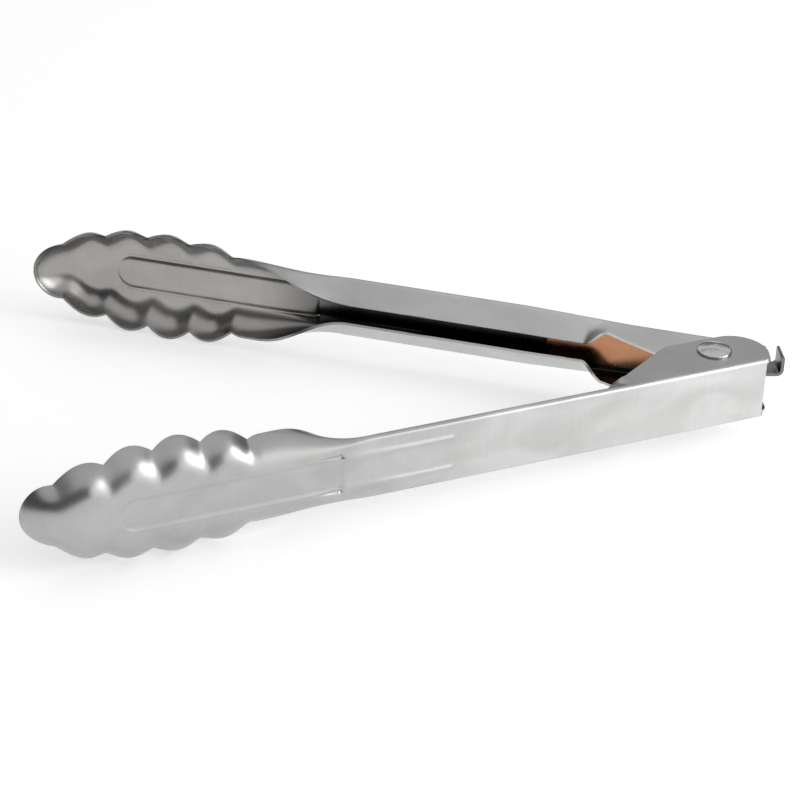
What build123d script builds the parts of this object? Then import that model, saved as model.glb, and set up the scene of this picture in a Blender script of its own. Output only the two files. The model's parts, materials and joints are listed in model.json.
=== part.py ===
"""Spring loaded kitchen tongs: two folded sheet arms on one rivet, a bent leaf spring and a pull lock.

Frame: +Z runs along the rivet and the origin is the middle of the bounding box's underside. The
heads point to -X, the outer arm lies on the -Y side and the inner arm on the +Y side. Lengths are
millimetres.
"""
from build123d import *
from math import acos, atan, cos, degrees, pi, radians, sin, sqrt
import os

os.makedirs("parts", exist_ok=True)

# ---- whole tool -------------------------------------------------------------------------------
pivot = Vector(94.395, -0.329, 18.788)   # middle of the rivet
half_opening = 19.8            # each arm leans this far from the X axis when the tongs stand open
arm_length = 223.5             # pivot to tip, measured along the arm
sheet = 1.0                    # sheet thickness of both arms

# ---- handle channel ---------------------------------------------------------------------------
outer_web_offset = 11.0        # pivot axis to the outer arm's back face
inner_web_offset = 11.7        # the same on the inner arm
outer_half_width = 10.25       # half of the outer arm's height across the back
inner_half_width = 10.2
nesting_gap = 0.15             # between the inner arm's ears and the outer arm's
nested_half_width = outer_half_width - sheet - nesting_gap
joggle_start = 28.0            # from here to the fold the inner arm widens to its full height
bend_radius = 1.3              # outside radius of the folds
lip_turn = 140.0               # how far the lips are folded over, in degrees
lip_length = 8.1               # straight part of each lip
fold_start = 34.0              # the square ears end here and the fold begins to close over
fold_end = 47.0                # from here on the lips are fully folded
fold_steps = 6

# ---- ears at the pivot end --------------------------------------------------------------------
outer_ear_front = 6.6          # depth of the flange where the ear's sloping front edge starts
inner_ear_front = 8.5
ear_shoulder = 13.5            # the sloping edge reaches the full depth here
ear_depth = 18.6               # from the back face
ear_end_radius = 10.5          # rounded end of the outer arm's ears
ear_end_x = -5.8               # its centre along the arm
outer_web_end = -13.3          # where the outer arm's back is cut off
inner_web_end = -14.5
inner_ear_tip = -17.3          # furthest point of the inner arm's ears
inner_ear_tip_depth = 10.0
inner_ear_tip_radius = 3.2
inner_ear_tip_flat = 1.5       # straight end of the ear above its tip
stop_gap = 0.2                 # left between the open stop edge and the outer arm's back

# ---- head -------------------------------------------------------------------------------------
neck_start = 118.0             # the lips begin to open here
head_middle = 180.0            # widest place
head_half_width = 16.1         # at the notches of the scalloped rim
first_notch = 157.0
scallop_pitch = 14.35
head_start = first_notch - scallop_pitch / 4     # the bowl proper begins here
scallop_height = 2.6           # lobes stand out this far past the notches
scallop_depth = 1.5            # and reach this much further inwards
lobe_power = 0.8               # below 1 the lobes are rounder than the notches
rim_depth = 6.3                # depth of the bowl at the notches
tip_rim_depth = 10.4           # depth at the very tip
rim_rise = 196.0               # the rim grows deeper from here to the tip
nose_start = 205.0             # the floor starts to curl up here
nose_radius = 22.0
floor_share = 0.48             # flat floor, as a share of the half width
smallest_lip = 0.3
last_station = 0.35            # the loft stops this far short of the tip
neck_steps = 12
neck_power = 1.5               # above 1 the folds keep their tight radius for longer

# ---- pressed track in the head's floor --------------------------------------------------------
track_half_width = 6.0
track_tip = 198.5
track_end = 129.5
track_depth = 0.3

# ---- rivet ------------------------------------------------------------------------------------
pin_radius = 2.5
pin_play = 0.05
rivet_head_radius = 5.4
rivet_head_height = 1.5
rivet_head_edge = 0.6
rivet_dome_radius = (rivet_head_radius**2 + (rivet_head_height - rivet_head_edge) ** 2) / (
    2 * (rivet_head_height - rivet_head_edge)
)

# ---- leaf spring ------------------------------------------------------------------------------
spring_sheet = 0.6
spring_half_width = 6.2
spring_reach = 54.0            # leg length along each arm
spring_gap = 0.1               # to the back of each arm

# ---- lock -------------------------------------------------------------------------------------
lock_sheet = 1.0
lock_level = 3.3               # underside of the strip above the middle of the pin
lock_half_width = 3.9
lock_front = -13.0
lock_back = 21.5               # outer face of the finger tab
lock_tab_top = 9.3
lock_travel = 5.0
lock_bend = 1.5
slot_play = 0.15
window_play = 0.7
window_reach = 4.0             # the window is cut this deep through the bend

cut_margin = 1.0               # cutters run this far past the metal
cut_height = outer_half_width + cut_margin
cut_end = inner_ear_tip - cut_margin

# ---- planes through the pivot, then the arm frames: x to the head, y away from the other arm ------
lean = radians(half_opening)
level = Plane(origin=pivot, x_dir=(1, 0, 0), z_dir=(0, 0, 1))
upright = Plane(origin=pivot, x_dir=(1, 0, 0), z_dir=(0, -1, 0))
outer_frame = Plane(origin=pivot, x_dir=(-cos(lean), -sin(lean), 0), z_dir=(0, 0, 1))
inner_frame = Plane(origin=pivot, x_dir=(-cos(lean), sin(lean), 0), z_dir=(0, 0, -1))


def across(frame, x, web_offset):
    """Plane across an arm: its x is the depth from the back face, its y runs over the width."""
    corner = frame.from_local_coords(Vector(x, web_offset, 0))
    return Plane(origin=corner, x_dir=-frame.y_dir, z_dir=-frame.x_dir)


def smooth(value, low, high):
    """Smooth step from 0 at low to 1 at high."""
    share = min(max((value - low) / (high - low), 0.0), 1.0)
    return share * share * (3 - 2 * share)


def folded_section(frame, x, web_offset, flat, radius, turn, lip, sink=0.0, wall=sheet):
    """Sheet folded at both edges: half flat back, bend radius, turn in degrees, lip, sink."""
    angle = radians(turn)
    with BuildSketch(across(frame, x, web_offset)) as section:
        with BuildLine():
            Line((sink, 0), (sink, flat))
            bend = CenterArc((sink + radius, flat), radius, 180, -turn)
            fold = bend @ 1
            edge = fold + Vector(sin(angle), cos(angle)) * lip
            Line(fold, edge)
            inner_edge = edge + Vector(cos(angle), -sin(angle)) * wall
            Line(edge, inner_edge)
            inner_bend = CenterArc((sink + radius, flat), radius - wall, 180 - turn, turn)
            Line(inner_edge, inner_bend @ 0)
            Line(inner_bend @ 1, (sink + wall, 0))
            mirror(about=Plane.XZ)
        make_face()
    return section.sketch


def lobe(x):
    """Height of the scalloped rim between two notches, from 0 to 1."""
    return abs(sin(pi * (x - first_notch) / scallop_pitch)) ** lobe_power


def head_section(x):
    """Section of the bowl: a flat floor with one round wall on each side."""
    plump = sqrt(1 - ((x - head_middle) / (arm_length - head_middle)) ** 2)
    toward_tip = max(0.0, (x - rim_rise) / (arm_length - rim_rise))
    rim_half = plump * (head_half_width + scallop_height * lobe(x))
    depth = rim_depth + (tip_rim_depth - rim_depth) * toward_tip**2
    depth += plump * scallop_depth * lobe(x)
    nose = max(0.0, x - nose_start)
    sink = nose_radius - sqrt(nose_radius**2 - nose**2)
    slope = nose / sqrt(nose_radius**2 - nose**2)
    flat = floor_share * head_half_width * plump * (1 - toward_tip**2)
    turn = 2 * atan((depth - sink) / (rim_half - flat))
    radius = (rim_half - flat) / sin(turn)
    return flat, radius, degrees(turn), smallest_lip, sink, sheet * sqrt(1 + slope**2)


def blade(frame, web_offset, half_width, start_depth):
    """Fold-over, handle channel, neck and scalloped head as one ruled loft."""
    sections = []
    flat = half_width - bend_radius
    start_lip = start_depth - bend_radius
    for step in range(fold_steps + 1):
        share = smooth(step / fold_steps, 0, 1)
        x = fold_start + (fold_end - fold_start) * step / fold_steps
        turn = 90 + (lip_turn - 90) * share
        lip = start_lip + (lip_length - start_lip) * share
        sections.append(folded_section(frame, x, web_offset, flat, bend_radius, turn, lip))
    sections.append(
        folded_section(frame, neck_start, web_offset, flat, bend_radius, lip_turn, lip_length)
    )
    head_flat, head_radius, head_turn, _, _, _ = head_section(head_start)
    for step in range(1, neck_steps):
        x = neck_start + (head_start - neck_start) * step / neck_steps
        share = smooth(x, neck_start, head_start)
        neck_flat = flat + (head_flat - flat) * share
        radius = bend_radius + (head_radius - bend_radius) * share**neck_power
        turn = lip_turn + (head_turn - lip_turn) * share
        lip = lip_length + (smallest_lip - lip_length) * share
        sections.append(folded_section(frame, x, web_offset, neck_flat, radius, turn, lip))
    station = scallop_pitch / 8
    x = head_start
    while x < arm_length - last_station - station / 2:
        sections.append(folded_section(frame, x, web_offset, *head_section(x)))
        x += station
    x = arm_length - last_station
    sections.append(folded_section(frame, x, web_offset, *head_section(x)))
    loft(sections=sections, ruled=True)


def ear_channel(frame, web_offset, stations):
    """Square channel that the ears are cut from; each station is a place and its half width."""
    flange = ear_depth - bend_radius
    sections = []
    for x, half_width in stations:
        flat = half_width - bend_radius
        sections.append(folded_section(frame, x, web_offset, flat, bend_radius, 90, flange))
    loft(sections=sections, ruled=True)


def press_track(frame, web_offset):
    """Shallow racetrack pressed into the floor of the head from the outside."""
    middle = (track_tip + track_end) / 2
    centre = frame.from_local_coords(Vector(middle, web_offset, 0))
    with BuildSketch(Plane(origin=centre, x_dir=frame.x_dir, z_dir=frame.y_dir)) as track:
        SlotOverall(track_tip - track_end, 2 * track_half_width)
    extrude(track.sketch, amount=-track_depth, mode=Mode.SUBTRACT)


def pin_hole(radius):
    """Hole through both ears on the pivot axis."""
    with BuildSketch(level) as hole:
        Circle(radius)
    extrude(hole.sketch, amount=cut_height, both=True, mode=Mode.SUBTRACT)


# ---- outer arm: its ears lie outside and carry the rivet heads ----------------------------------
with BuildPart() as outer_arm:
    ear_channel(
        outer_frame,
        outer_web_offset,
        [(cut_end, outer_half_width), (fold_start, outer_half_width)],
    )
    web = outer_web_offset
    end_y = web - ear_depth + ear_end_radius
    end_reach = sqrt(ear_end_radius**2 - (web - end_y) ** 2)
    with BuildSketch(outer_frame):
        with BuildLine():
            Polyline(
                (ear_end_x - end_reach, web),
                (outer_web_end, web),
                (outer_web_end, web + cut_margin),
                (fold_start, web + cut_margin),
                (fold_start, web - outer_ear_front),
                (ear_shoulder, web - ear_depth),
                (ear_end_x, web - ear_depth),
            )
            end_sweep = 180 - degrees(acos((web - end_y) / ear_end_radius))
            CenterArc((ear_end_x, end_y), ear_end_radius, 270, -end_sweep)
        make_face()
    extrude(amount=cut_height, both=True, mode=Mode.INTERSECT)
    blade(outer_frame, outer_web_offset, outer_half_width, outer_ear_front)
    press_track(outer_frame, outer_web_offset)
    pin_hole(pin_radius + pin_play)

# ---- inner arm: narrower at the pivot, nests between the outer ears ------------------------------
with BuildPart() as inner_arm:
    ear_channel(
        inner_frame,
        inner_web_offset,
        [
            (cut_end, nested_half_width),
            (joggle_start, nested_half_width),
            (fold_start, inner_half_width),
        ],
    )
    web = inner_web_offset
    tip_x = inner_ear_tip + inner_ear_tip_radius
    tip_y = web - inner_ear_tip_depth
    # The stop edge lies along the outer arm's back when the tongs are fully open.
    stop_angle = radians(2 * half_opening)
    stop_normal = Vector(-sin(stop_angle), -cos(stop_angle))
    stop_distance = outer_web_offset - sheet - stop_gap
    shoulder_y = web - ear_depth
    stop_corner_x = (stop_distance - stop_normal.Y * shoulder_y) / stop_normal.X
    tip_touch = Vector(tip_x, tip_y) + stop_normal * inner_ear_tip_radius
    stop_end = tip_touch - stop_normal * (tip_touch.dot(stop_normal) - stop_distance)
    with BuildSketch(inner_frame):
        with BuildLine():
            Polyline(
                (inner_web_end, web + cut_margin),
                (fold_start, web + cut_margin),
                (fold_start, web - inner_ear_front),
                (ear_shoulder, shoulder_y),
                (stop_corner_x, shoulder_y),
                (stop_end.X, stop_end.Y),
                (inner_ear_tip, tip_y),
                (inner_ear_tip, tip_y + inner_ear_tip_flat),
                (inner_web_end, web - sheet),
                close=True,
            )
        make_face()
    extrude(amount=cut_height, both=True, mode=Mode.INTERSECT)
    blade(inner_frame, inner_web_offset, inner_half_width, inner_ear_front)
    press_track(inner_frame, inner_web_offset)
    pin_hole(pin_radius + pin_play)

# ---- rivet: plain pin with a low domed head at each end ------------------------------------------
with BuildPart() as pivot_rivet:
    rivet_top = outer_half_width + rivet_head_height
    rivet_rim = outer_half_width + rivet_head_edge
    with BuildSketch(upright):
        with BuildLine():
            Polyline(
                (0, 0),
                (pin_radius, 0),
                (pin_radius, outer_half_width),
                (rivet_head_radius, outer_half_width),
                (rivet_head_radius, rivet_rim),
            )
            RadiusArc((rivet_head_radius, rivet_rim), (0, rivet_top), -rivet_dome_radius)
            Line((0, rivet_top), (0, 0))
        make_face()
    revolve(axis=Axis(pivot, (0, 0, 1)))
    mirror(about=level)

# ---- leaf spring: a leg along each back, bent round the rivet, with a window for the lock ---------
with BuildPart() as flat_spring:
    outer_leg = outer_web_offset - sheet - spring_gap - spring_sheet / 2
    inner_leg = inner_web_offset - sheet - spring_gap - spring_sheet / 2
    loop_shift = (inner_leg - outer_leg) / (2 * cos(lean))
    loop_radius = (inner_leg + outer_leg) / 2
    loop_centre = Vector(0, loop_shift, 0)
    outer_touch = loop_centre + outer_frame.y_dir * loop_radius
    inner_touch = loop_centre + inner_frame.y_dir * loop_radius
    outer_end = outer_touch + outer_frame.x_dir * spring_reach
    inner_end = inner_touch + inner_frame.x_dir * spring_reach
    back = loop_centre + Vector(loop_radius, 0, 0)
    with BuildSketch(level):
        with BuildLine():
            Line(outer_end, outer_touch)
            ThreePointArc(outer_touch, back, inner_touch)
            Line(inner_touch, inner_end)
            offset(amount=spring_sheet / 2, kind=Kind.TANGENT)
        make_face()
    extrude(amount=spring_half_width, both=True)
    with BuildSketch(level.offset(lock_level - window_play)):
        with Locations((loop_radius, 0)):
            Rectangle(window_reach, 2 * (lock_half_width + window_play))
    extrude(amount=lock_sheet + 2 * window_play, mode=Mode.SUBTRACT)

# ---- lock: slotted strip that slides on the rivet, with a finger tab bent up at its end -----------
with BuildPart() as lock_slide:
    with BuildSketch(upright.offset(-lock_half_width)):
        with BuildLine():
            FilletPolyline(
                (lock_front, lock_level + lock_sheet / 2),
                (lock_back - lock_sheet / 2, lock_level + lock_sheet / 2),
                (lock_back - lock_sheet / 2, lock_tab_top),
                radius=lock_bend,
            )
            offset(amount=lock_sheet / 2)
        make_face()
    extrude(amount=2 * lock_half_width)
    with BuildSketch(level.offset(lock_level)):
        with Locations((-lock_travel / 2, 0)):
            SlotCenterToCenter(lock_travel, 2 * (pin_radius + slot_play))
    extrude(amount=lock_sheet, mode=Mode.SUBTRACT)

outer_arm.part.label = "outer_arm"
export_step(outer_arm.part, "parts/outer_arm.step")
inner_arm.part.label = "inner_arm"
export_step(inner_arm.part, "parts/inner_arm.step")
pivot_rivet.part.label = "pivot_rivet"
export_step(pivot_rivet.part, "parts/pivot_rivet.step")
flat_spring.part.label = "flat_spring"
export_step(flat_spring.part, "parts/flat_spring.step")
lock_slide.part.label = "lock_slide"
export_step(lock_slide.part, "parts/lock_slide.step")
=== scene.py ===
"""Spring loaded kitchen tongs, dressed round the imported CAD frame.

Lengths in the script are millimetres and are turned into metres when a mesh is made. Each arm is
worked out in its own coordinates: x from the pivot to the head, depth inwards from the back face,
z along the rivet.
"""
import json
from math import asin, atan2, cos, pi, radians, sin, sqrt

import bmesh
import bpy
import numpy as np
from mathutils import Matrix, Vector


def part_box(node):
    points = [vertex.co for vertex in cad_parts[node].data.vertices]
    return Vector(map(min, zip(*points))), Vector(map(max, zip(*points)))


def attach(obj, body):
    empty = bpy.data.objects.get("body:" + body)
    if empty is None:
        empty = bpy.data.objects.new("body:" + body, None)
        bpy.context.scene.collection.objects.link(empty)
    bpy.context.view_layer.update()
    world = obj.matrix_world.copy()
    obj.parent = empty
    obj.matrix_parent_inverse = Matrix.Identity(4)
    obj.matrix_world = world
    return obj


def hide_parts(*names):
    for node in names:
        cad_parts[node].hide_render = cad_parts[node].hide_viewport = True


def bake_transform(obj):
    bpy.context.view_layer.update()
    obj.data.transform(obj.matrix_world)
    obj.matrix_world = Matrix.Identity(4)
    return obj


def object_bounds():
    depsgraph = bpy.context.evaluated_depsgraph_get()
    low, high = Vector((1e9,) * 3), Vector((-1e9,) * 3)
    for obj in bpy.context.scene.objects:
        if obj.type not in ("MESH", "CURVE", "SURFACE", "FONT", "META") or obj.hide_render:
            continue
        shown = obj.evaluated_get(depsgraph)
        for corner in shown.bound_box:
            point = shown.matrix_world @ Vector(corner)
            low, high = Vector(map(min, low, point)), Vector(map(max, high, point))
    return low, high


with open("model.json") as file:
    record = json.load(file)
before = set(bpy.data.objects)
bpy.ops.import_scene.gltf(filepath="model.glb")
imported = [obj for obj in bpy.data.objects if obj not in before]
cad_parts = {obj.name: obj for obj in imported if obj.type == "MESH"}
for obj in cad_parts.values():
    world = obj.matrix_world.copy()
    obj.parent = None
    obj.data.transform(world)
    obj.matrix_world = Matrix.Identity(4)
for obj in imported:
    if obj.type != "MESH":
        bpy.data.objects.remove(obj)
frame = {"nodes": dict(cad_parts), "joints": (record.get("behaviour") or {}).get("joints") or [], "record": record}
cad_low, cad_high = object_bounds()

MM = 0.001
scene = bpy.context.scene
record = frame["record"]

# ---- facts taken from the frame -----------------------------------------------------------------
squeeze = next(j for j in frame["joints"] if j["name"] == "squeeze")
pivot = np.array(squeeze["pos_m"]) / MM
rest_face = record["mounts"][0]
lean = atan2(rest_face["axis"][0], -rest_face["axis"][1])

# ---- driving dimensions, as in the CAD model ----------------------------------------------------
sheet = 1.0
rolled_sheet = 0.85
lip_turn = radians(140)
lip_length = 8.1
bend_radius = 1.3
fold_start, fold_end = 34.0, 47.0
joggle_start, joggle_end = 28.0, 60.0
lip_cut_start, lip_cut_end = 36.0, 42.0
ear_depth = 18.6
ear_shoulder = 13.5
neck_start = 118.0
neck_power = 1.5
first_notch = 157.0
scallop_pitch = 14.35
head_start = first_notch - scallop_pitch / 4
head_middle, arm_length = 180.0, 223.5
head_length = arm_length - head_middle
head_half_width = 16.1
scallop_height, scallop_depth = 2.6, 1.5
lobe_power = 0.8
rim_depth, tip_rim_depth, rim_rise = 6.3, 10.4, 196.0
nose_start, nose_radius = 205.0, 22.0
floor_share, floor_wave = 0.46, 3.2
smallest_lip = 0.3
track_half_width, track_tip, track_end = 6.0, 198.5, 129.5

ARMS = {
    "outer_arm": dict(
        body="outer", side=-1, web=11.0, half_width=10.25, nested=10.25, ear_front=6.6
    ),
    "inner_arm": dict(
        body="inner", side=1, web=11.7, half_width=10.2, nested=9.1, ear_front=8.5
    ),
}


# ---- small helpers ------------------------------------------------------------------------------
def ramp(value, low, high):
    """Smooth step from 0 at low to 1 at high, for numbers and arrays."""
    share = np.clip((value - low) / (high - low), 0.0, 1.0)
    return share * share * (3 - 2 * share)


def stations(stops, counts):
    """Places from the first stop to the last, with counts of equal steps between the stops."""
    spans = zip(stops[:-1], stops[1:], counts)
    starts = [np.linspace(low, high, count, endpoint=False) for low, high, count in spans]
    return np.concatenate([*starts, stops[-1:]])


def to_row(side, x, away, z):
    """Arm coordinates, with away measured from the pivot axis, to points in the object's frame."""
    return np.stack(
        [
            pivot[0] - x * cos(lean) + away * sin(lean),
            pivot[1] + side * (x * sin(lean) + away * cos(lean)),
            pivot[2] + z + 0 * x,
        ],
        axis=-1,
    )


def make_object(name, mesh_data, material_names):
    """Object of a bmesh, smooth shaded, with its materials."""
    mesh = bpy.data.meshes.new(name)
    mesh_data.to_mesh(mesh)
    mesh_data.free()
    for polygon in mesh.polygons:
        polygon.use_smooth = True
    for material_name in material_names:
        mesh.materials.append(bpy.data.materials[material_name])
    obj = bpy.data.objects.new(name, mesh)
    scene.collection.objects.link(obj)
    return obj


def add_grid(mesh_data, points, flip, keep=None):
    """Quads of a grid of points (metres) added to a bmesh; keep can leave some of them out."""
    verts = [[mesh_data.verts.new(p) for p in line] for line in points]
    for i in range(len(verts) - 1):
        for j in range(len(verts[0]) - 1):
            if keep is not None and not keep[i][j]:
                continue
            corners = [verts[i][j], verts[i + 1][j], verts[i + 1][j + 1], verts[i][j + 1]]
            mesh_data.faces.new(corners[::-1] if flip else corners)


def thicken(obj, thickness, edge_round, inside_material=0, edge_material=0):
    """Sheet thickness inwards from the outer face, with lightly rounded cut edges."""
    solid = obj.modifiers.new("sheet", "SOLIDIFY")
    solid.thickness = thickness * MM
    solid.offset = -1
    solid.use_quality_normals = True
    solid.material_offset = inside_material
    solid.material_offset_rim = edge_material
    round_edges(obj, edge_round)


def round_edges(obj, edge_round):
    """Small bevel on sharp edges, then normals that keep flat faces flat."""
    bevel = obj.modifiers.new("edges", "BEVEL")
    bevel.width = edge_round * MM
    bevel.segments = 2
    bevel.limit_method = "ANGLE"
    bevel.angle_limit = radians(65)
    shade = obj.modifiers.new("shade", "WEIGHTED_NORMAL")
    shade.keep_sharp = True


# ---- materials ----------------------------------------------------------------------------------
class Nodes:
    """A few shorthands for building one node material."""

    def __init__(self, name):
        self.material = bpy.data.materials.new(name)
        self.material.use_nodes = True
        self.tree = self.material.node_tree
        self.shader = self.tree.nodes["Principled BSDF"]
        place = self.tree.nodes.new("ShaderNodeTexCoord")
        self.place = place.outputs["Object"]

    def node(self, kind, **values):
        made = self.tree.nodes.new(kind)
        for key, value in values.items():
            setattr(made, key, value)
        return made

    def link(self, source, target):
        self.tree.links.new(source, target)

    def turned(self, angle, scale):
        """Object coordinates turned about Z, then stretched."""
        turn = self.node("ShaderNodeMapping", vector_type="POINT")
        turn.inputs["Rotation"].default_value = (0, 0, angle)
        self.link(self.place, turn.inputs["Vector"])
        stretch = self.node("ShaderNodeMapping", vector_type="POINT")
        stretch.inputs["Scale"].default_value = scale
        self.link(turn.outputs["Vector"], stretch.inputs["Vector"])
        return stretch.outputs["Vector"]

    def noise(self, vector, detail=3.0, roughness=0.5, distortion=0.0):
        made = self.node("ShaderNodeTexNoise")
        made.inputs["Scale"].default_value = 1.0
        made.inputs["Detail"].default_value = detail
        made.inputs["Roughness"].default_value = roughness
        made.inputs["Distortion"].default_value = distortion
        self.link(vector, made.inputs["Vector"])
        return made.outputs["Fac"]

    def spread(self, value, low, high, from_low=0.3, from_high=0.7):
        """Maps a value that lies between from_low and from_high to low..high."""
        made = self.node("ShaderNodeMapRange")
        for key, number in zip(
            ("From Min", "From Max", "To Min", "To Max"), (from_low, from_high, low, high)
        ):
            made.inputs[key].default_value = number
        self.link(value, made.inputs["Value"])
        return made.outputs["Result"]

    def maths(self, operation, a, b):
        made = self.node("ShaderNodeMath", operation=operation)
        for socket, value in zip(made.inputs, (a, b)):
            if isinstance(value, (int, float)):
                socket.default_value = value
            else:
                self.link(value, socket)
        return made.outputs["Value"]

    def colour_between(self, factor, dark, light):
        made = self.node("ShaderNodeMix", data_type="RGBA")
        self.link(factor, made.inputs["Factor"])
        made.inputs["A"].default_value = (*dark, 1)
        made.inputs["B"].default_value = (*light, 1)
        return made.outputs["Result"]

    def scaled(self, colour, factor):
        made = self.node("ShaderNodeVectorMath", operation="SCALE")
        self.link(colour, made.inputs[0])
        self.link(factor, made.inputs["Scale"])
        return made.outputs["Vector"]

    def part_of(self, vector, axis):
        made = self.node("ShaderNodeSeparateXYZ")
        self.link(vector, made.inputs["Vector"])
        return made.outputs[axis]

    def bump(self, height, strength, distance, under=None):
        made = self.node("ShaderNodeBump")
        made.inputs["Strength"].default_value = strength
        made.inputs["Distance"].default_value = distance
        self.link(height, made.inputs["Height"])
        if under is not None:
            self.link(under, made.inputs["Normal"])
        return made.outputs["Normal"]


# Painted shade on the ear tops: the band below the top, and the zone along the arm where it falls.
ear_top_shade_band = 0.4
ear_top_shade_zone = (60.0, 35.0)


def brushed_metal(name, angle, dark, light, roughness, grain=(2600, 2600, 45), fade=None, ears=None):
    """Brushed sheet: fine grain in one direction, broad smudges and a few long scratches.

    fade scales the colour along the arm: (at the head, at the pivot, from x, to x); it paints light and shade,
    such as a painted reflection that lightens the backs towards the pivot and painted shade that darkens the
    channel insides.
    ears scales the colour on top of the ears, as painted shade that darkens the ear tops near the pivot; the
    change is spread over the ear zone, from x to x.
    """
    made = Nodes(name)
    fine = made.noise(made.turned(angle, grain), detail=4.0, roughness=0.6)
    coarse = made.noise(made.turned(angle, (grain[0] / 5, grain[1] / 5, 14)), detail=2.0)
    smudge = made.noise(made.turned(angle, (42, 60, 70)), detail=5.0, distortion=0.6)
    patch = made.noise(made.turned(angle, (95, 95, 60)), detail=2.0)
    scratch = made.noise(made.turned(angle + 0.5, (3800, 26, 180)), detail=1.0)
    lines = made.spread(scratch, 0.0, 1.0, from_low=0.66, from_high=0.74)
    fine_share = 0.15
    grains = made.maths("MULTIPLY", fine, fine_share)
    mixed = made.maths("ADD", grains, made.maths("MULTIPLY", smudge, 1 - fine_share))
    shade = made.spread(mixed, 0.0, 1.0, from_low=0.36, from_high=0.64)
    colour = made.colour_between(shade, dark, light)
    pivot_place = (Matrix.Rotation(angle, 3, "Z") @ Vector(pivot * MM)).x
    along = made.part_of(made.turned(angle, (1, 1, 1)), "X")
    # Painted light and shade along the arm: the colour is scaled from the head's factor to the pivot's.
    if fade is not None:
        at_head, at_pivot, from_x, to_x = fade
        places = (pivot_place - from_x * MM, pivot_place - to_x * MM)
        colour = made.scaled(colour, made.spread(along, at_head, at_pivot, *places))
    # Painted shade: the colour on top of the ears is darkened towards the pivot.
    if ears is not None:
        top = (pivot[2] + ARMS["outer_arm"]["half_width"]) * MM
        height = made.part_of(made.place, "Z")
        near_top = made.spread(height, 0, 1, top - ear_top_shade_band * MM, top)
        places = (pivot_place - ear_top_shade_zone[0] * MM, pivot_place - ear_top_shade_zone[1] * MM)
        near_pivot = made.spread(along, 0, 1 - ears, *places)
        ear_top_shade_factor = made.maths("SUBTRACT", 1.0, made.maths("MULTIPLY", near_top, near_pivot))
        colour = made.scaled(colour, ear_top_shade_factor)
    made.link(colour, made.shader.inputs["Base Color"])
    rough = made.spread(smudge, roughness - 0.05, roughness + 0.07)
    rough = made.maths("ADD", rough, made.maths("MULTIPLY", lines, 0.06))
    made.link(rough, made.shader.inputs["Roughness"])
    made.shader.inputs["Metallic"].default_value = 1.0
    wear = made.spread(patch, 0.2, 1.0, from_low=0.45, from_high=0.62)
    grooves = made.bump(made.maths("MULTIPLY", fine, wear), 0.05, 0.04 * MM)
    waves = made.bump(coarse, 0.05, 0.06 * MM, grooves)
    marks = made.bump(lines, 0.08, 0.02 * MM, waves)
    made.link(marks, made.shader.inputs["Normal"])


def make_materials():
    """All finishes of the tongs, with painted light and shade in the steel colours."""
    pale, deep = (0.56, 0.56, 0.555), (0.45, 0.45, 0.445)
    # Outer and inner steel: fade paints a reflection, lighter towards the pivot; on the outer steel, ears paints
    # shade on the ear tops.
    brushed_metal("outer steel", -lean, deep, pale, 0.34, fade=(0.88, 1.32, 170, 5), ears=0.72)
    brushed_metal("inner steel", lean, deep, pale, 0.34, fade=(1.0, 1.3, 150, 20))
    # Inside steel: darker copies of the steel, fading to a fifth of their colour towards the pivot, as painted
    # shade in the channels.
    pale, deep = (0.43, 0.42, 0.405), (0.34, 0.33, 0.32)
    brushed_metal("outer steel inside", -lean, deep, pale, 0.28, fade=(1.0, 0.2, 150, 122))
    brushed_metal("inner steel inside", lean, deep, pale, 0.28, fade=(1.0, 0.2, 150, 122))
    # Cut edges: darker towards the head and lighter towards the pivot, where the lightening is a painted highlight
    # along the ear edges.
    brushed_metal("cut edge", 0, (0.40, 0.40, 0.40), (0.52, 0.52, 0.52), 0.32, fade=(0.5, 1.3, 150, 60))
    brushed_metal("rivet steel", 0, (0.52, 0.52, 0.52), (0.70, 0.70, 0.70), 0.20, (900, 900, 900))
    brushed_metal("spring copper", 0, (0.50, 0.23, 0.12), (0.64, 0.34, 0.20), 0.24)
    # Lock: dark steel, darkened further as painted shade on the tab.
    brushed_metal("lock steel", 0, (0.13, 0.13, 0.135), (0.24, 0.24, 0.245), 0.28, (45, 2600, 2600))
    made = Nodes("pale floor")
    made.shader.inputs["Base Color"].default_value = (0.9, 0.9, 0.9, 1)
    made.shader.inputs["Roughness"].default_value = 0.9
    made.shader.inputs["Specular IOR Level"].default_value = 0.1
    made.shader.inputs["Emission Color"].default_value = (1, 1, 1, 1)
    made.shader.inputs["Emission Strength"].default_value = 0.4


# ---- shape of the head, as a depth over its plan ------------------------------------------------
rim_softness, floor_softness = 0.05, 0.40
rim_sharpness_power = 6


def lobe(x, sharpness):
    """Scalloped rim between two notches, from 0 to 1; the notches soften as sharpness drops."""
    wave = np.sin(pi * (x - first_notch) / scallop_pitch) ** 2
    softened = floor_softness * (1 - sharpness) * ramp(x, head_start, first_notch)
    soft = (rim_softness + softened) ** 2
    low, high = soft ** (lobe_power / 2), (1 + soft) ** (lobe_power / 2)
    return ((wave + soft) ** (lobe_power / 2) - low) / (high - low)


def bowl_sink(x):
    """How far the floor of the nose has curled up at x."""
    nose = np.clip(x - nose_start, 0, nose_radius - 1)
    return nose_radius - np.sqrt(nose_radius**2 - nose**2)


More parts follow.
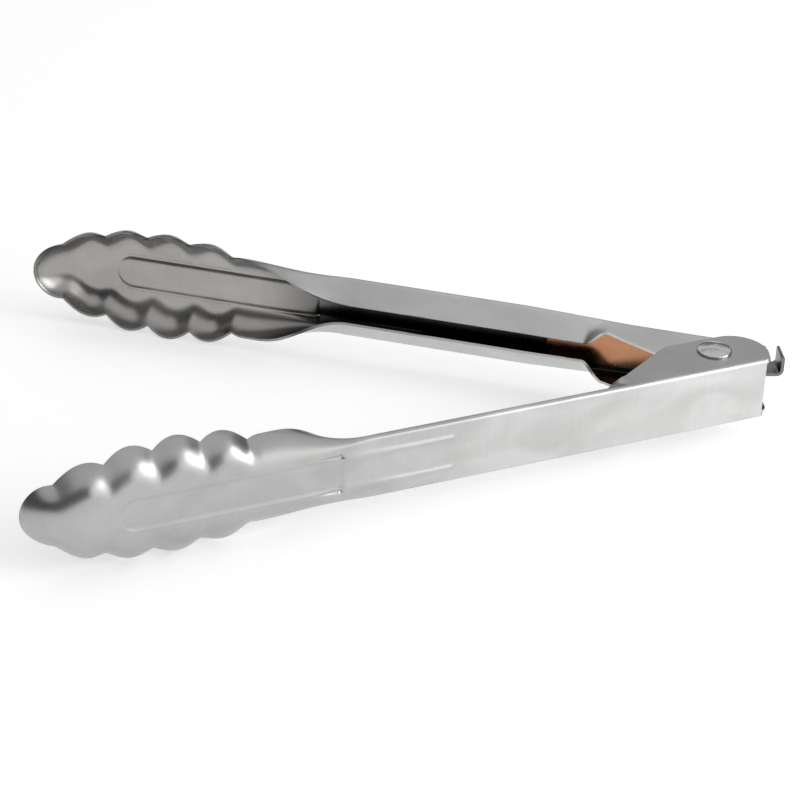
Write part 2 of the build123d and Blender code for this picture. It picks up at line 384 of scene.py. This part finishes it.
def bowl_section(x, sharpness=1.0):
    """Half flat floor, wall radius, turn, sink of the floor and half width at the wall's end."""
    plump = np.sqrt(np.maximum(1 - ((x - head_middle) / head_length) ** 2, 1e-6))
    toward_tip = np.maximum(0.0, (x - rim_rise) / (arm_length - rim_rise))
    height = lobe(x, sharpness)
    rim_half = plump * (head_half_width + scallop_height * height)
    depth = rim_depth + (tip_rim_depth - rim_depth) * toward_tip**2
    depth = depth + plump * scallop_depth * height
    sink = bowl_sink(x)
    settled = np.where(x < first_notch, first_notch + (x - first_notch) / 4, x)
    wave = floor_wave * (lobe(settled, 0.0) - 0.5)
    flat = (floor_share * head_half_width + wave) * plump * (1 - toward_tip**2)
    turn = 2 * np.arctan((depth - sink) / (rim_half - flat))
    radius = (rim_half - flat) / np.sin(turn)
    return flat, radius, turn, sink, rim_half


def bowl_depth(x, z):
    """Depth of the bowl's outer face below the back face."""
    rim_half = bowl_section(x)[4]
    sharpness = np.clip(z / rim_half, 0, 1) ** rim_sharpness_power
    flat, radius, turn, sink, wall_end = bowl_section(x, sharpness)
    across = np.clip(z, 0, wall_end) - flat
    wall = radius - np.sqrt(np.maximum(radius**2 - np.maximum(across, 0) ** 2, 0))
    beyond = np.maximum(z - wall_end, 0) * np.tan(turn)
    return sink + wall + beyond


# ---- marks pressed into the back of each arm ----------------------------------------------------
track_press = 0.5
track_edge = 2.0
track_groove, groove_width = 0.10, 0.3
track_end_slope = (track_end - 0.4, track_end + 1.0)
crease_x = 130.0
bead_end, bead_z, bead_height, bead_width = 95.0, 5.0, 0.5, 0.9
bead_stop = crease_x - 1.5
bead_flare, bead_flare_start = 0.7, 108.0
slit_z, slit_length, slit_depth, slit_width, slit_taper = track_half_width - 0.3, 9.0, 0.45, 0.55, 0.7
nick_length, nick_depth, nick_width = 1.9, 0.22, 0.3


def hump(reach, width):
    """Rounded ridge of height 1 on a line, at a distance reach from it."""
    return np.exp(-((reach / width) ** 2))


def emboss(x, z):
    """How far the back is pressed in (positive) or raised (negative) at x, z."""
    along = np.minimum(x, track_tip - track_half_width)
    reach = np.hypot(x - along, z)
    inside = 1 - ramp(reach, track_half_width - track_edge, track_half_width)
    track = track_press * inside + track_groove * hump(reach - track_half_width, groove_width)
    track = track * ramp(x, *track_end_slope)

    bead_x = np.clip(x, bead_end, bead_stop)
    width = bead_width + bead_flare * ramp(x, bead_flare_start, crease_x)
    bead = bead_height * hump(np.hypot(x - bead_x, z - bead_z), width)

    slit_end = crease_x + slit_length
    slit_x = np.clip(x, crease_x, slit_end)
    width = slit_width * (1 - slit_taper * ramp(x, crease_x, slit_end))
    slit = slit_depth * hump(np.hypot(x - slit_x, z - slit_z), width)
    slit = slit * (1 - ramp(x, crease_x + 1, slit_end))

    nick_z = np.clip(z, slit_z, slit_z + nick_length)
    nick = nick_depth * hump(np.hypot(x - crease_x, z - nick_z), nick_width)
    return track - bead + slit + nick


# ---- ears ---------------------------------------------------------------------------------------
ear_end_x, ear_end_depth, ear_end_radius = -5.8, 8.1, 10.5
snout_depths = [0, 1.0, 8.5, 10.0, 11.64, ear_depth]
snout_places = [-14.5, -14.5, -17.3, -17.3, -15.45, -7.03]
snout_round = 0.5
shoulder_start, shoulder_round = 0.85, 1.2


def outer_ear_back(depth):
    """Rounded end of the outer arm's ears."""
    reach = np.sqrt(np.maximum(ear_end_radius**2 - (depth - ear_end_depth) ** 2, 0))
    return ear_end_x - reach


def inner_ear_back(depth):
    """End of the inner arm's ears: a snout, then the straight stop edge, with rounded corners."""
    nearby = [depth + snout_round * tap for tap in np.linspace(-1, 1, 5)]
    return sum(np.interp(d, snout_depths, snout_places) for d in nearby) / len(nearby)


def ear_front(arm, depth):
    """Sloping front edge of an ear, with a rounded shoulder."""
    share = (depth - arm["ear_front"]) / (ear_depth - arm["ear_front"])
    corner = np.maximum(0, (share - shoulder_start) / (1 - shoulder_start))
    return fold_start + (ear_shoulder - fold_start) * share - shoulder_round * corner**2


def ear_back(arm, depth):
    return outer_ear_back(depth) if arm["side"] < 0 else inner_ear_back(depth)


# ---- the arm's outer face as one grid -----------------------------------------------------------
track_rows = stations([0, track_half_width - track_edge, track_half_width + 1.6], [7, 21])
widest_track_share = 0.6
least_crease_gap = 0.3
least_lip_end = 0.05
bend_rows, lip_rows = 12, 22
fan_start, fan_end, fan_full = 188.0, 208.0, arm_length - 6
fan_power = 1.3
ear_rows = 16
ear_shares = np.linspace(0, 1, 30, endpoint=False) ** 1.15
join_distance = 0.004
smallest_face = 1e-14


def half_width_at(arm, x):
    """The inner arm is narrower where it nests between the outer ears."""
    joggle = np.clip((x - joggle_start) / (joggle_end - joggle_start), 0, 1)
    return arm["nested"] + (arm["half_width"] - arm["nested"]) * joggle


def drawn_in(arm, x, z):
    """z of a row, moved in by what the arm is narrower at x."""
    lost = arm["half_width"] - half_width_at(arm, x)
    return z - lost * np.clip(z / arm["half_width"], 0, 1)


def folded_line(flat, radius, turn, lip, evenness):
    """Depth and z of the rows across a folded section: the flat, the bend, then the lip.

    The rows crowd on the bend, and evenness from 0 to 1 spreads them out again.
    """
    bend = radius * turn
    whole = flat + bend + lip
    inner_rows = track_rows * min(1.0, widest_track_share * whole / track_rows[-1])
    crease = max(flat, inner_rows[-1] + least_crease_gap)
    crease_end = min(crease + bend, whole - least_lip_end)
    stops = [inner_rows[-1], crease, crease_end, whole]
    creased = stations(stops, [2, bend_rows, lip_rows - 1])[1:]
    even = np.linspace(inner_rows[-1], whole, len(creased) + 1)[1:]
    distance = np.concatenate([inner_rows, creased + (even - creased) * evenness])
    angle = np.clip((distance - flat) / radius, 0, turn)
    straight = np.maximum(distance - flat - bend, 0)
    z = np.minimum(distance, flat) + radius * np.sin(angle) + straight * cos(turn)
    depth = radius * (1 - np.cos(angle)) + straight * sin(turn)
    return depth, z


def head_stations():
    """Places along the head: every notch is one of them, and they crowd towards the tip."""
    notches = first_notch + scallop_pitch * np.arange(5)
    stops = [asin((x - head_middle) / head_length) for x in (head_start, *notches, arm_length)]
    return head_middle + head_length * np.sin(stations(stops, [7, 24, 24, 24, 24, 34])[1:])


def spine_place(rim_x):
    """Where on the centre line a row across the head starts: the rows fan out towards the tip."""
    past = max(rim_x - fan_start, 0) / (arm_length - fan_start)
    lag = (arm_length - fan_end) * past**2
    return rim_x - lag


def ear_columns(arm):
    """Columns below the ears, from their back edge to the start of the fold."""
    flat = arm["half_width"] - bend_radius
    depth, z = folded_line(flat, bend_radius, pi / 2, arm["ear_front"] - bend_radius, 0.0)
    back = ear_back(arm, depth)
    places = [back + (fold_start - back) * share for share in ear_shares]
    return [(x, depth, drawn_in(arm, x, z)) for x in places]


def fold_columns(arm):
    """Columns where the upright flange folds in to become the handle's lip."""
    flat = arm["half_width"] - bend_radius
    start_lip = arm["ear_front"] - bend_radius
    columns = []
    for x in np.linspace(fold_start, fold_end, 27):
        turn = pi / 2 + (lip_turn - pi / 2) * float(ramp(x, fold_start, lip_cut_end))
        lip = start_lip + (lip_length - start_lip) * float(ramp(x, lip_cut_start, lip_cut_end))
        depth, z = folded_line(flat, bend_radius, turn, lip, 0.0)
        columns.append((x + 0 * z, depth, drawn_in(arm, x, z)))
    return columns


def handle_columns(arm):
    """Columns of the folded handle, close together where the beads end."""
    flat = arm["half_width"] - bend_radius
    depth, z = folded_line(flat, bend_radius, lip_turn, lip_length, 0.0)
    places = stations([fold_end + 3, bead_end - 3, bead_end + 3, neck_start], [12, 14, 10])[:-1]
    return [(x + 0 * z, depth, drawn_in(arm, x, z)) for x in places]


def neck_columns(arm):
    """Columns where the fold opens into the bowl, close together at the crease."""
    flat = arm["half_width"] - bend_radius
    head_flat, head_radius, head_turn, _, _ = (float(v) for v in bowl_section(head_start))
    columns = []
    for x in stations([neck_start, crease_x - 1.6, crease_x + 1.6, head_start], [10, 14, 35]):
        share = float(ramp(x, neck_start, head_start))
        radius = bend_radius + (head_radius - bend_radius) * share**neck_power
        turn = lip_turn + (head_turn - lip_turn) * share
        lip = lip_length + (smallest_lip - lip_length) * share
        depth, z = folded_line(flat + (head_flat - flat) * share, radius, turn, lip, share)
        columns.append((x + 0 * z, depth, z))
    return columns


def head_columns():
    """Columns of the bowl; the last of them is drawn together into the tip."""
    columns = []
    for rim_x in head_stations():
        head_flat, radius, turn, _, _ = (float(v) for v in bowl_section(rim_x))
        _, z = folded_line(head_flat, radius, turn, smallest_lip, 1.0)
        spread = float(ramp(rim_x, fan_start, fan_full))
        share = (1 - spread) * z / z[-1] + spread * np.linspace(0, 1, len(z))
        spine_x = spine_place(rim_x)
        x = spine_x + (rim_x - spine_x) * share**fan_power
        z = share * z[-1] * (rim_x < arm_length - 1e-6)
        columns.append((x, bowl_depth(x, z), z))
    return columns


def arm_grid(arm):
    """x, depth and z of the grid of half an arm, from the pivot end to the tip."""
    columns = ear_columns(arm) + fold_columns(arm) + handle_columns(arm)
    columns += neck_columns(arm) + head_columns()
    return [np.array(line) for line in zip(*columns)]


def ear_patch(arm):
    """x, depth and z of the part of an ear that stands above the folded flange."""
    front = arm["ear_front"]
    turn = np.linspace(0, 1, ear_rows + 1)
    depth = front + (ear_depth - front) * np.sin(turn * pi / 2)
    share = np.append(ear_shares, 1.0)
    back = ear_back(arm, depth)[None, :]
    x = back + (ear_front(arm, depth)[None, :] - back) * share[:, None]
    depth = depth[None, :] + 0 * x
    return x, depth, half_width_at(arm, x)


def on_the_back(x, depth):
    """1 on the back of the arm, fading to 0 where its sides turn down."""
    below_back, fade = 4.0, (0.05, 1.2)
    return (depth < below_back) * (1 - ramp(depth - bowl_sink(x), *fade))


def make_arm(name):
    """One arm: both mirrored halves of the outer face, thickened inwards."""
    arm = ARMS[name]
    mesh_data = bmesh.new()
    x, depth, z = arm_grid(arm)
    depth = depth + emboss(x, z) * on_the_back(x, depth)
    patches = [(x, depth, z), ear_patch(arm)]
    for mirrored in (1, -1):
        for px, pd, pz in patches:
            points = to_row(arm["side"], px, arm["web"] - pd, mirrored * pz) * MM
            add_grid(mesh_data, points, flip=(mirrored * arm["side"] < 0))
    bmesh.ops.remove_doubles(mesh_data, verts=mesh_data.verts, dist=join_distance * MM)
    empty = [face for face in mesh_data.faces if face.calc_area() < smallest_face]
    bmesh.ops.delete(mesh_data, geom=empty, context="FACES")
    label = arm["body"] + " steel"
    # The inside faces take the inside steel, with its painted shade.
    obj = make_object(name + "_sheet", mesh_data, [label, label + " inside", "cut edge"])
    thicken(obj, rolled_sheet, 0.15, inside_material=1, edge_material=2)
    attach(obj, arm["body"])
    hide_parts(name)


# ---- rivet --------------------------------------------------------------------------------------
pin_radius = 2.5
rim_height, rim_round = 0.6, 0.15
hammer_depth = 0.045
rivet_turns = 96


def rivet_profile(head_radius, top):
    """Radius and height of half the rivet, from the middle of the pin to the top of the dome."""
    under = ARMS["outer_arm"]["half_width"]
    rim = under + rim_height
    dome = (head_radius**2 + (top - rim) ** 2) / (2 * (top - rim))
    profile = [(pin_radius, share * under) for share in (0.0, 0.5, 1.0)]
    profile += [(r, under) for r in np.linspace(pin_radius, head_radius - rim_round, 6)[1:]]
    profile += [(head_radius, under + rim_round), (head_radius, rim - 0.1)]
    for r in np.linspace(head_radius - 0.12, 0, 22):
        profile.append((r, top - dome + sqrt(dome**2 - r**2)))
    return np.array(profile).T


def make_rivet():
    """Pin with a low, slightly hammered dome at each end, turned about the pivot."""
    low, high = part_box("pivot_rivet")
    head_radius = (high[0] - low[0]) / 2 / MM
    top = (high[2] - low[2]) / 2 / MM
    r, z = rivet_profile(head_radius, top)
    on_dome = z > ARMS["outer_arm"]["half_width"] + rim_height
    r_grid, angle = np.meshgrid(r, np.linspace(0, 2 * pi, rivet_turns + 1))
    mesh_data = bmesh.new()
    for mirrored in (1, -1):
        lift = hammer_depth * np.sin(3 * angle + 1.1 * mirrored) * np.cos(r_grid * 1.1)
        lift = lift * np.sin(pi * r_grid / head_radius) * on_dome
        places = [r_grid * np.cos(angle), r_grid * np.sin(angle), mirrored * (z + lift)]
        points = pivot + np.stack(places, axis=-1)
        add_grid(mesh_data, points * MM, flip=mirrored < 0)
    bmesh.ops.remove_doubles(mesh_data, verts=mesh_data.verts, dist=join_distance / 2 * MM)
    obj = make_object("pivot_rivet_formed", mesh_data, ["rivet steel"])
    round_edges(obj, 0.08)
    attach(obj, "outer")
    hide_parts("pivot_rivet")


# ---- leaf spring --------------------------------------------------------------------------------
strip_thickness, strip_half_width, strip_corner = 0.6, 6.2, 1.4
leg_start, leg_end, leg_points = 1.5, 54.0, 44
bend_points = 49
sheet_clearance = 0.1
window_height, window_below_lock, window_half_width = 2.4, 0.7, 4.6
outer_leg, inner_leg = (arm["web"] - sheet - sheet_clearance for arm in ARMS.values())


def strip_line():
    """Points along the strip's outer face: the outer leg, the bend round the rivet, the inner leg."""
    leg_x = np.linspace(leg_end, leg_start, leg_points)
    share = np.linspace(0, 1, bend_points)
    angle = (2 * share - 1) * (pi / 2 - lean)
    radius = outer_leg + (inner_leg - outer_leg) * share
    bend = pivot + np.stack([radius * np.cos(angle), radius * np.sin(angle), 0 * angle], axis=-1)
    return np.concatenate([to_row(-1, leg_x, outer_leg, 0), bend, to_row(1, leg_x[::-1], inner_leg, 0)])


def strip_narrowing(count):
    """How much the half width loses at each of count points, for the rounded corners at both ends."""
    steps = np.arange(count)
    from_end = np.minimum(steps, steps[::-1]) * (leg_end - leg_start) / (leg_points - 1)
    inside_corner = np.maximum(strip_corner - from_end, 0)
    return strip_corner - np.sqrt(strip_corner**2 - inside_corner**2)


def make_spring():
    """Copper-coloured strip: a leg along each back, and a bend with a window for the lock."""
    line = strip_line()
    lock_low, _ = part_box("lock_slide")
    window_low = lock_low[2] / MM - window_below_lock - pivot[2]
    window_high = window_low + window_height
    rows = stations([-strip_half_width, window_low, window_high, strip_half_width], [13, 3, 4])
    width_share = 1 - strip_narrowing(len(line)) / strip_half_width
    points = np.repeat(line[:, None, :], len(rows), axis=1)
    points[:, :, 2] += rows * width_share[:, None]

    middle = (line[:-1] + line[1:]) / 2 - pivot
    behind_pivot = (middle[:, 0] > 0) & (np.abs(middle[:, 1]) < window_half_width)
    row_middle = (rows[:-1] + rows[1:]) / 2
    in_window = (row_middle > window_low) & (row_middle < window_high)
    keep = ~np.outer(behind_pivot, in_window)

    mesh_data = bmesh.new()
    add_grid(mesh_data, points * MM, flip=False, keep=keep)
    obj = make_object("flat_spring_strip", mesh_data, ["spring copper"])
    thicken(obj, strip_thickness, 0.1)
    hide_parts("flat_spring")
    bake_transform(obj)


# ---- lock ---------------------------------------------------------------------------------------
def dress_cad_nodes():
    """The lock keeps its CAD mesh and gets its dark steel, whose colour holds painted shade."""
    lock = frame["nodes"]["lock_slide"]
    lock.data.materials.clear()
    lock.data.materials.append(bpy.data.materials["lock steel"])


# ---- studio -------------------------------------------------------------------------------------
def add_panel(name, direction, distance, size, brightness):
    """Softbox that faces the object from a direction; brightness is its radiance."""
    middle = (cad_low + cad_high) / 2
    toward = Vector(direction).normalized()
    light = bpy.data.lights.new(name, "AREA")
    light.shape = "RECTANGLE"
    light.size, light.size_y = size
    light.energy = brightness * pi * size[0] * size[1]
    obj = bpy.data.objects.new(name, light)
    obj.location = middle + toward * distance
    obj.rotation_mode = "QUATERNION"
    obj.rotation_quaternion = (-toward).to_track_quat("-Z", "Y")
    obj.visible_camera = False
    scene.collection.objects.link(obj)


def make_floor():
    """Pale floor, just below the tongs."""
    floor_size, floor_gap = 4.0, 0.2
    mesh_data = bmesh.new()
    bmesh.ops.create_grid(mesh_data, x_segments=8, y_segments=8, size=floor_size)
    floor = make_object("floor", mesh_data, ["pale floor"])
    floor.location.z = cad_low.z - floor_gap * MM


def make_lights():
    """Dim surroundings and soft panels at the right, in front, overhead and behind."""
    world = bpy.data.worlds.new("studio")
    scene.world = world
    world.use_nodes = True
    surroundings = world.node_tree.nodes["Background"].inputs
    surroundings["Color"].default_value = (0.09, 0.09, 0.092, 1)
    surroundings["Strength"].default_value = 0.9
    add_panel("right", (0.88, -0.28, 0.40), 1.5, (0.7, 0.9), 5.0)
    add_panel("front", (0.62, -0.72, 0.30), 1.5, (0.9, 0.9), 1.4)
    add_panel("overhead", (0.0, -0.05, 1.0), 1.5, (3.4, 3.4), 0.65)
    add_panel("behind", (0.10, 0.87, 0.49), 1.6, (1.8, 0.6), 0.62)
    scene.view_settings.view_transform = "Standard"


def make_camera():
    """Long lens, a little above and to the left of the outer arm."""
    azimuth, elevation, roll = radians(6.6), radians(29.3), radians(2.8)
    lens, distance = 123.2, 841.0
    target = pivot + np.array([-96.5, 0.0, -6.3])
    level = cos(elevation)
    back = np.array([-sin(azimuth) * level, -cos(azimuth) * level, sin(elevation)])
    camera = bpy.data.cameras.new("camera")
    camera.lens = lens
    camera.sensor_width = 36
    camera.clip_start, camera.clip_end = 0.05, 20
    obj = bpy.data.objects.new("camera", camera)
    obj.rotation_mode = "QUATERNION"
    upright = Vector(-back).to_track_quat("-Z", "Y")
    obj.rotation_quaternion = upright @ Matrix.Rotation(roll, 3, "Z").to_quaternion()
    obj.location = Vector((target + distance * back) * MM)
    scene.collection.objects.link(obj)
    scene.camera = obj


make_materials()
make_camera()
make_floor()
make_lights()
for arm_name in ARMS:
    make_arm(arm_name)
make_rivet()
make_spring()
dress_cad_nodes()
